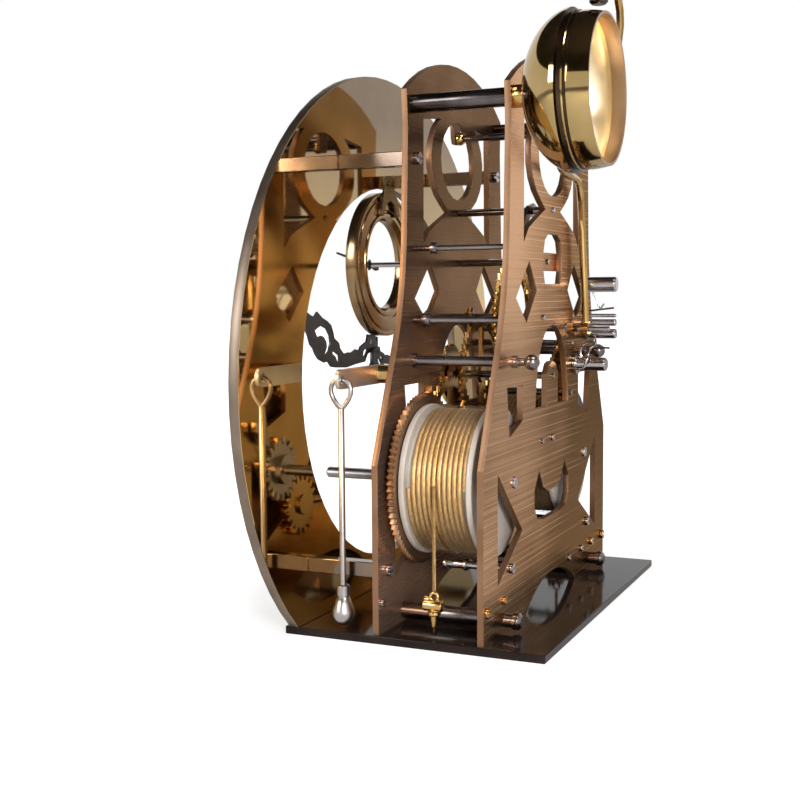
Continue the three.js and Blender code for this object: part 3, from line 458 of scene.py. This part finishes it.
sheet_of(bm, [*leg, (0, 27), *other_leg], [], 0, RING_BACK, RING_AT, BRACKET)
ease(bm, 0.2)
for u in (-2.7, 2.7):
    screw(bm, spot(u, RING_BACK + BRACKET, RING_AT + 34.2), 1.1, 0.7)
finished(bm, "ring_bracket", "frame", [bracket_brass])
marks("seconds_marks", RING_AT, 22.0, 27.5, 1.2, RING_FRONT, 0.3)

# Hands: thin steel sheet, sawn and pierced, lacquered black and pushed on their arbors by
# a round hub. The hour hand is a smaller minute hand, turned over; the seconds hand is plain.
ARM = [(-4.8, 9.6), (-4.9, 14.9), (0.9, 16.2), (5.3, 16.4), (6.4, 13.4), (12.3, 11.5),
       (13.6, 9.9), (17.3, 10.6), (20.9, 9.4), (24.5, 9.6), (28, 9.1), (31.4, 11.5),
       (32.5, 13.9), (36.5, 15.8), (37.5, 18.4), (39.2, 21.1), (42.5, 22.9), (46.8, 24.3),
       (51.1, 26.8), (53.8, 24.7), (57.4, 25.8), (66, 29.6), (80, 36), (95, 42.3),
       (80, 34.4), (66, 26.4), (59, 17.6), (57.2, 14.1), (54.7, 12.4), (53.1, 10.2),
       (50.5, 8), (45.7, 6.4), (42.3, 6.7), (39.6, 4.4), (35.1, 3.8), (25.8, 3.3),
       (17.4, 4.2), (8.1, 4.8), (5.5, 7.9), (1.7, 9)]
PIERCINGS = [
    [(53.4, 19.4), (48.5, 21.2), (43.6, 19.9), (40.7, 17), (40.2, 13.9), (41.7, 10.9),
     (44.5, 9.2), (45.3, 9.7), (43.3, 12.5), (43.8, 14.8), (45.9, 16.7), (48.4, 17.3),
     (51.3, 16.6)],
    [(38, 10.9), (32.7, 8.7), (32.5, 6), (34.2, 6.3), (35.8, 8.3), (38.6, 9.7)],
    [(10.2, 7.6), (9.6, 9.4), (6.4, 10.9), (6.1, 9.3), (8.4, 6.9)],
    [(3.2, 12.2), (2.5, 14.3), (1.2, 14.6), (1.6, 12.1)],
    [(-2, 13.1), (-3, 14.7), (-3.9, 14.7), (-3.2, 12.8)],
]
HAND, HUB, BOSS = 0.9, 4.6, 3.6
hub = arc(HUB, HUB, 0, (64, 20, -20, -60, -100, -140, 180, 150, 116))


def tube(inner, outer, start, stop):
    return [(inner, start), *collar(outer, start, stop), (inner, stop), (inner, start)]


for node, body, share, flip, y, bore in (("minute_hand", "centre", 1.0, 1, -59.7, 1.6),
                                         ("hour_hand", "hour", 0.66, -1, -58.2, 2.6)):
    bm = bmesh.new()
    arm, *holes = [[(flip * share * u, share * v) for u, v in loop] for loop in (ARM, *PIERCINGS)]
    holes.append(arc(bore, bore, 0, range(0, 360, 18)))
    sheet_of(bm, [*[(flip * u, v) for u, v in hub], *arm], holes, 0, y, CENTRE, HAND)
    ease(bm, 0.1, 50, 1)
    lathe(bm, tube(bore, BOSS, y - 0.1, y + HAND + 0.1), spot(0, 0, CENTRE))
    finished(bm, f"{node}_finish", body, [hand_black], [node])
dressed("seconds_hand", "escape", [hand_black], 0.1)

# Pillars: turned steel between the plates, held behind by a nut, a ball head or a round
# head. The right top pillar ends at the back plate, under the bell's post.
TOP, MIDDLE, BOTTOM = (47, 196), (47, 99), (58.5, 4.2)
PIVOT, BALL, BALL_AT = 1.4, 3, 28.0
grey_steel = polished("grey steel", (0.07, 0.06, 0.06), (0.14, 0.12, 0.12), 0.22, 0.12)
rod_steel = polished("pillar steel, dulled", (0.17, 0.145, 0.14), (0.25, 0.215, 0.205), 0.27, 0.1)
soft_steel = polished("satin steel, grey", (0.37, 0.34, 0.34), (0.46, 0.425, 0.425), 0.3, 0.1)
plain_top = collar(3.5, -IN, IN)
nut_top = [*plain_top, *collar(PIVOT, IN, OUT), *collar(3.2, OUT, OUT + 2.4), (2.2, OUT + 3.4)]
middle = [*collar(2.8, -IN, -IN + 1.6), *collar(1.9, -IN + 1.6, IN), *collar(PIVOT, IN, OUT),
          *collar(2.4, OUT, OUT + 1.2), *collar(1.5, OUT + 1.2, BALL_AT - 2.6),
          *arc(BALL, BALL, BALL_AT, range(-60, 91, 10))]
bottom = [*collar(3.2, -IN, IN), *collar(PIVOT, IN, OUT), *collar(2.6, OUT, OUT + 3.4),
          *collar(3.2, OUT + 3.4, OUT + 5.6), (2, OUT + 6.6)]
for hand, sign in SIDES:
    for name, slot, steel, profile, (x, z) in (
            ("top_pillar", "dark_steel", grey_steel, plain_top if sign > 0 else nut_top, TOP),
            ("mid_pillar", "polished_steel", rod_steel, middle, MIDDLE),
            ("bottom_pillar", "polished_steel", rod_steel, bottom, BOTTOM)):
        turned(f"{name}_{hand}_finish", "frame", steel, capped(profile), sign * x, z,
               [f"{name}_{hand}"])

# Stays: thin turned steel rods with one collar each, between the plates on the right, and
# the spools under the drums, screwed to the back plate.
STAY_X, SPOOL_X = 47, 51.8
for name, radius, first, wide, z in (("upper_stay", 1.05, -11.8, 2.6, 141.7),
                                     ("lower_stay", 1.4, -15.5, 3.4, 114.6)):
    rod = [*collar(radius, -IN, first), *collar(radius + 1.2, first, first + wide),
           *collar(radius, first + wide, IN)]
    turned(f"{name}_finish", "frame", rod_steel, capped(rod), STAY_X, z, [name],
           steps=28)
spool = [*collar(2.3, -5, -3.4), *collar(1.7, -3.4, 3), *collar(2.3, 3, 4.6), *collar(1.5, 4.6, IN)]
for hand, sign in SIDES:
    low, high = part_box(f"drum_stay_{hand}")
    z = (low.z + high.z) / 2 / MM - BOARD_TOP
    turned(f"drum_stay_{hand}_finish", "frame", bright_steel, capped(spool),
           sign * SPOOL_X, z, [f"drum_stay_{hand}"], steps=28)

# Upper rod: dark steel with a brass bush at its front end, held across the oval windows of
# both plates by a small brass tab in each.
ROD_AT, ROD, ROD_END = 188, 1.25, OUT - 0.2
TAB_SUNK = 0.3
rod = [*collar(1.0, -ROD_END, -IN), *collar(ROD, -IN, IN), *collar(1.0, IN, ROD_END)]
turned("upper_rod", "frame", grey_steel, capped(rod), 0, ROD_AT, steps=28)
bush = [(ROD, -IN + 0.1), (2.6, -IN + 0.1), (2.6, -IN + 1.4), (2.0, -IN + 2.6), (ROD, -IN + 2.6),
        (ROD, -IN + 0.1)]
turned("upper_rod_bush", "frame", wheel_gold, bush, 0, ROD_AT, steps=28)
bm = bmesh.new()
tab = [(-4.2, 7.2), (-3.2, 0.4), (-2.2, -2.2), (2.2, -2.2), (3.2, 0.4), (4.2, 7.2)]
for y in (-OUT + TAB_SUNK, IN + TAB_SUNK):
    sheet_of(bm, tab, [], 0, y, ROD_AT, OUT - IN - 2 * TAB_SUNK)
ease(bm, 0.2)
finished(bm, "upper_rod_tabs", "frame", [plate_edge])

# Barrels: pale moulded drum with two flanges, one layer of twisted cable wound on it under
# a clear sleeve, slit so that the cable can leave, the great wheel in front and the steel
# winding arbor through all.
DRUM_X, DRUM_Z = 48.023, 53.961
BORE, CORE, FLANGE = 3.0, 25.0, 28.6
FRONT, FRONT_INNER, BACK_INNER, BACK = -13.3, -11.1, 13.0, 15.2
SLEEVE_IN, SLEEVE_OUT, SLIT = 27.9, 28.3, 2.1
WOUND, WOUND_WIDTH, WOUND_SIDES = 26.3, 1.86, 12
FIRST, TURNS, PITCH, STEPS = -10.05, 11, 2.0, 72
pale, place, feed = surface("drum, pale plastic", Transmission_Weight=0.25, IOR=1.49)
veil = place.clouds(40)
feed("Base Color", veil.between((0.56, 0.5, 0.44), (0.66, 0.6, 0.53)))
feed("Roughness", veil * 0.15 + 0.25)
clear, place, feed = surface("sleeve, clear plastic", Roughness=0.12, IOR=1.49)
haze = place.clouds(30)
feed("Base Color", haze.between((0.46, 0.36, 0.24), (0.54, 0.43, 0.3)))
edge_on = place.node("ShaderNodeLayerWeight", {}, {"Blend": 0.3}, 1)
feed("Alpha", edge_on * edge_on * edge_on * 0.4 + haze * 0.03 + 0.03)
cable_brass, place, feed = surface("cable, twisted brass wire", Metallic=1.0)
wires = place.clouds(1, (1500, 1500, 500), 2)
feed("Base Color", wires.between((0.46, 0.28, 0.1), (0.64, 0.42, 0.18)))
feed("Roughness", wires * 0.16 + 0.42)
great_brass = polished("great wheel, rosy brass", (0.27, 0.155, 0.085), (0.38, 0.225, 0.125),
                       0.36, 0.1)
drum = [(BORE, FRONT), *collar(FLANGE, FRONT, FRONT_INNER), *collar(CORE, FRONT_INNER, BACK_INNER),
        *collar(FLANGE, BACK_INNER, BACK), (BORE, BACK), (BORE, FRONT)]
for hand, sign in SIDES:
    body = f"barrel_{hand}"
    x = sign * DRUM_X
    turned(f"drum_{hand}_finish", body, pale, drum, x, DRUM_Z, [f"drum_{hand}"],
           steps=80, width=0.3)
    bm = bmesh.new()
    swept(bm, WOUND_SIDES, WOUND_WIDTH / 2, spot(sign * (DRUM_X + WOUND), FIRST, DRUM_Z),
          spot(x, 0, DRUM_Z), (0, sign, 0), math.tau * TURNS, STEPS * TURNS,
          (0, PITCH * MM / STEPS, 0))
    bmesh.ops.holes_fill(bm, edges=bm.edges, sides=WOUND_SIDES)
    finished(bm, f"cable_{hand}_wound", body, [cable_brass], [f"cable_{hand}"])
    bm = bmesh.new()
    for start, stop in ((FRONT_INNER, DROP_Y - SLIT / 2), (DROP_Y + SLIT / 2, BACK_INNER)):
        lathe(bm, tube(SLEEVE_IN, SLEEVE_OUT, start, stop), spot(x, 0, DRUM_Z), 80)
    finished(bm, f"drum_sleeve_{hand}", body, [clear])
    dressed(f"winding_arbor_{hand}", body, [soft_steel], 0.12)
    dressed(f"great_wheel_{hand}", f"great_{hand}", [great_brass], 0.1)
    dressed(f"stop_wheel_{hand}", f"stop_{hand}", [wheel_gold], 0.12)
    dressed(f"click_{hand}", f"click_{hand}", [bright_steel], 0.12)

# Train wheels: pierced brass wheels and cut pinions on steel arbors, each turning with
# its arbor in the plates. The steel anchor lets the escape wheel go tooth by tooth.
ARBOR = 2.1
for node, body, x, z in (
        ("second_wheel", "second", 14.026, 65.8), ("centre_wheel", "centre", 0, CENTRE),
        ("hour_wheel", "hour", 0, CENTRE), ("third_wheel", "third", 12.634, 114.862),
        ("escape_wheel", "escape", 0, 137.012), ("pin_wheel", "pins", -25.613, 82.135),
        ("warning_wheel", "warning", -27.443, 103.055), ("fly", "fly", -18.557, 110.512)):
    dressed(node, body, [wheel_gold, bright_steel], 0.08, arbor=(x, z, ARBOR))
dressed("anchor", "anchor", [bright_steel], 0.08)

# Bell: spun brass dome, open to the back and polished outside, with a groove painted dark as
# shade, a thin bead behind its rim, a narrower skirt, a satin inside painted light as a highlight
# and a lip painted darker as a reflection. A brass post and nut hold it on the back plate.
bell_gold = polished("bell brass, polished", (0.43, 0.3, 0.122), (0.51, 0.36, 0.16), 0.08, 0.05)
# painted shade: a dark copy of the bell brass for the groove
bell_groove_shade = polished("bell brass, groove painted dark", (0.05, 0.03, 0.018), (0.09, 0.055, 0.03),
                       0.3, 0.1)
# painted highlight: the inside is a much lighter copy of the bell brass
bell_inside = polished("bell brass, satin inside, painted highlight", (0.88, 0.72, 0.46), (0.95, 0.8, 0.54), 0.3, 0.05)
# painted reflection: the strip inside the mouth is a darker copy of the bell brass
bell_lip = polished("bell brass, dull lip, painted reflection", (0.38, 0.255, 0.165), (0.46, 0.315, 0.21), 0.42, 0.08)
BELL_X, BELL_Z = TOP
BELL_WIDE, BELL_INNER, BELL_BORE = 29.4, 26.4, 1.9
EQUATOR, APEX, MOUTH = 46.8, 26.0, 56.2
SHOULDER, LIP = EQUATOR - 2.2, MOUTH - 5.4
dome = arc(BELL_WIDE, APEX - EQUATOR, EQUATOR, range(86, 9, -4))
groove = [(29.1, SHOULDER), (27.5, SHOULDER + 0.4), (27.3, EQUATOR - 0.3)]
bead = [(28.0, EQUATOR - 0.15), (28.1, EQUATOR + 0.2), (27.9, EQUATOR + 0.5), (27.3, EQUATOR + 0.6)]
BEAD_EDGE, GROOVE_END = 27.95, EQUATOR + 1.3
skirt = [(27.2, EQUATOR + 1.2), (27.6, EQUATOR + 1.6), (27.7, EQUATOR + 3), (27.5, EQUATOR + 5),
         (27.1, EQUATOR + 7.4), (26.7, MOUTH)]
inner = [*arc(BELL_INNER, -(LIP - APEX - 1.5), LIP - 0.3, range(86, -1, -4)),
         *collar(25.7, LIP, MOUTH)]
bell_at = spot(BELL_X, 0, BELL_Z)
bm = bmesh.new()
lathe(bm, [(BELL_BORE, APEX), *dome, *groove, *bead, *skirt], bell_at, 120)
# the groove and the shoulder's edge get the painted shade
for face in bm.faces:
    x, y, z = (face.calc_center_median() - bell_at) / MM
    dark = SHOULDER < y < GROOVE_END and math.hypot(x, z) < BEAD_EDGE
    face.material_index = 1 if dark or SHOULDER < y < SHOULDER + 0.3 else 0
outside = set(bm.faces)
inside = [(26.7, MOUTH), *reversed(inner), (BELL_BORE, APEX + 1.2), (BELL_BORE, APEX)]
lathe(bm, inside, bell_at, 120)
# inside faces past the lip get the painted reflection; the rest get the painted highlight
for face in set(bm.faces) - outside:
    face.material_index = 3 if face.calc_center_median().y / MM > LIP else 2
finished(bm, "bell_finish", "frame", [bell_gold, bell_groove_shade, bell_inside, bell_lip],
         ["bell"])
post = [*collar(PIVOT, IN, OUT), *collar(4.2, OUT, APEX), *collar(1.4, APEX, APEX + 1.5),
        *collar(3.4, APEX + 1.5, APEX + 4.2), (2, APEX + 5.2)]
turned("bell_post_finish", "frame", wheel_gold, capped(post), BELL_X, BELL_Z,
       ["bell_post"])

# Hammer: a steel arbor with its tail, pivoted in the plates, a bent brass arm fixed on it
# behind the back plate, and a dark steel head at the arm's end.
dressed("hammer_arbor", "hammer", [bright_steel], 0.1)
dressed("hammer_arm", "hammer", [wheel_gold], 0, 60)
dressed("hammer_head", "hammer", [grey_steel], 0.2)


# Posts behind the back plate: hammer stop, spring post and lower post of turned steel,
# with the hammer's wire spring bent round them, two thin pins, a wire clip and loose wires.
def wire(bm, points, radius, sides=8):
    loops = []
    for i, point in enumerate(points):
        run = points[min(i + 1, len(points) - 1)] - points[max(i - 1, 0)]
        aim = run.to_track_quat("Z", "Y").to_matrix().to_4x4()
        ring = bmesh.ops.create_circle(bm, segments=sides, radius=radius * MM,
                                       matrix=Matrix.Translation(point) @ aim)["verts"]
        loops.append(ring)
    for first, second in zip(loops, loops[1:]):
        edges = {e for v in first + second for e in v.link_edges if e.is_boundary or e.is_wire}
        bmesh.ops.bridge_loops(bm, edges=list(edges))
    bmesh.ops.holes_fill(bm, edges=bm.edges, sides=sides)


POST_X, POST_END, CLIP_X, CLIP = -49, OUT + 13.4, -38, 4.4
for name, radius, root, x, z in (("hammer_stop", 3.3, 0.4, POST_X, 128),
                                 ("spring_post", 2.2, 0.4, POST_X, 106.5),
                                 ("lower_post", 2.9, 1.6, -32.5, 94)):
    shank = [*collar(radius + root, OUT, OUT + 1.4), *collar(radius, OUT + 1.4, POST_END),
             (radius - 0.5, OUT + 14)]
    turned(f"{name}_finish", "frame", bright_steel, capped(shank), x, z, [name],
           steps=32)
dressed("hammer_spring", "frame", [bright_steel], 0, 80)
for name, radius, z in (("thin_pin", 0.8, 114.4), ("stout_pin", 1.5, 111.4)):
    pin = [*collar(radius + 0.5, OUT, OUT + 1), *collar(radius, OUT + 1, POST_END),
           (radius - 0.3, OUT + 13.8)]
    turned(name, "frame", bright_steel, capped(pin), POST_X, z, steps=20,
           width=0.1)
bm = bmesh.new()
clip = [(26.9 + y, z) for y, z in arc(CLIP, CLIP, 98.9, range(50, 331, 20))]
for x, route in ((CLIP_X, clip), (CLIP_X, [(23, 101.2), (30, 100.9), (35.4, 100.7)]),
                 (-45, [(22, 116.2), (29, 117.1), (35.4, 117.8)]),
                 (-45, [(26, 124.6), (27.8, 121.5), (28.6, 118.8), (29.4, 117.4), (31, 119.6)])):
    wire(bm, [spot(x, y, z) for y, z in route], 0.42)
finished(bm, "wire_clips", "frame", [bright_steel])

# Repeat lever: a flat satin steel bar with a brass hub on its own post, and the pull rod of
# grey satin steel, with a turned bob below, hooked in the bar's end by a wire loop.
LEVER_X, LEVER_Z, LEVER_HUB = 47, 93.5, 4.3
satin_steel = polished("satin steel", (0.66, 0.63, 0.62), (0.78, 0.74, 0.73), 0.44, 0.1)
dressed("repeat_lever", "lever", [satin_steel, wheel_gold], 0.15,
        arbor=(LEVER_X, LEVER_Z, LEVER_HUB))
dressed("lever_post", "frame", [bright_steel], 0.15)
PULL_X, PULL_Y, PULL_FOOT, LOOP_FOOT = 79.5, -34.6, 2, 82.5
bob = [(1.6, 0.35), (3.0, 1.2), (3.9, 2.6), (4.3, 4.2), (4.1, 5.6), (3.2, 8.2), (2.45, 10.4),
       (2.2, 10.6), (2.2, 10.9), (2.5, 11.2), (2.5, 14.6), (2.1, 15.0), (1.2, 15.3)]
pull = [(0, PULL_FOOT), *[(r, PULL_FOOT + a) for r, a in bob], (1.2, LOOP_FOOT),
        (0.9, LOOP_FOOT + 0.5), (0, LOOP_FOOT + 0.5)]
bm = bmesh.new()
lathe(bm, pull, spot(PULL_X, PULL_Y, 0), 32, UPRIGHT)
half_loop = [(0, 0), (1.6, 1.6), (3.1, 3.7), (4.0, 5.8), (4.1, 7.6), (3.5, 9.3), (2.1, 10.5),
             (0, 11)]
route = half_loop + [(-u, v) for u, v in reversed(half_loop[:-1])]
wire(bm, [spot(PULL_X, PULL_Y + u, LOOP_FOOT + v) for u, v in route], 0.9, 12)
finished(bm, "pull_rod_finish", "rod", [soft_steel], ["pull_rod"])

# Studio: a pale paper floor that fades to plain white away from the clock, and a white
# surrounding that mirrors brightly but lights softly.
floor_look, place, feed = surface("floor, pale paper", Roughness=0.9)
paper = place.clouds(3)
feed("Base Color", paper.between((0.86, 0.86, 0.86), (0.9, 0.9, 0.9)))
tree = floor_look.node_tree
seen = Value(tree, tree.nodes.new("ShaderNodeLightPath").outputs["Is Camera Ray"])
white = seen.node("ShaderNodeEmission", {}, {"Color": (1, 1, 1, 1), "Strength": 1.37})
paper_shader = Value(tree, tree.nodes["Principled BSDF"].outputs[0])
reach = place.node("ShaderNodeVectorMath", {"operation": "LENGTH"}, {0: place}, 1)
bare = reach.ranged(0.1, 0.145) * 0.5 + 0.5
blend = seen.node("ShaderNodeMixShader", {}, {0: seen * bare, 1: paper_shader, 2: white})
tree.links.new(blend.socket, tree.nodes["Material Output"].inputs["Surface"])
bm = bmesh.new()
bmesh.ops.create_grid(bm, x_segments=2, y_segments=2, size=4)
floor = placed(bm, "floor", [floor_look])
floor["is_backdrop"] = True
world = bpy.data.worlds.new("studio")
scene.world = world
world.use_nodes = True
tree = world.node_tree
path = tree.nodes.new("ShaderNodeLightPath")
camera_ray, glossy_ray, clear_ray = (
    Value(tree, path.outputs[n]) for n in ("Is Camera Ray", "Is Glossy Ray", "Is Transmission Ray"))
strength = camera_ray + clear_ray + glossy_ray * 0.9
sky = tree.nodes["Background"]
tree.links.new(strength.maths("MAXIMUM", strength, 0.45).socket, sky.inputs["Strength"])
sky.inputs["Color"].default_value = (1, 1, 1, 1)

# Dark ceiling over the table, and soft lamps below it: one above the clock, one at the
# dial side and one that shines into the bell.
ceiling_look, place, feed = surface("ceiling, dark cloth", Roughness=1.0)
feed("Base Color", place.clouds(2).between((0.02, 0.015, 0.013), (0.03, 0.022, 0.019)))
bm = bmesh.new()
bmesh.ops.create_circle(bm, cap_ends=True, segments=64, radius=2.3,
                        matrix=Matrix.Translation((0.9, 0, 1.25)))
ceiling = placed(bm, "ceiling", [ceiling_look])
ceiling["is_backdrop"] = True
for name, at, aim, size, watts in (
        ("lamp above", (0.3, 0.5, 1.2), (0, 0, 0.1), 0.5, 10),
        ("lamp beside", (1.2, -0.7, 0.6), (0, 0, 0.12), 0.5, 8),
        ("lamp behind", (1.0, 0.7, 0.38), (0.04, 0.045, 0.2), 0.3, 14),
):
    lamp = bpy.data.objects.new(name, bpy.data.lights.new(name, "AREA"))
    lamp.data.size = size
    lamp.data.energy = watts
    lamp.location = at
    lamp.rotation_euler = (Vector(aim) - Vector(at)).to_track_quat("-Z", "Y").to_euler()
    scene.collection.objects.link(lamp)

low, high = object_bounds()
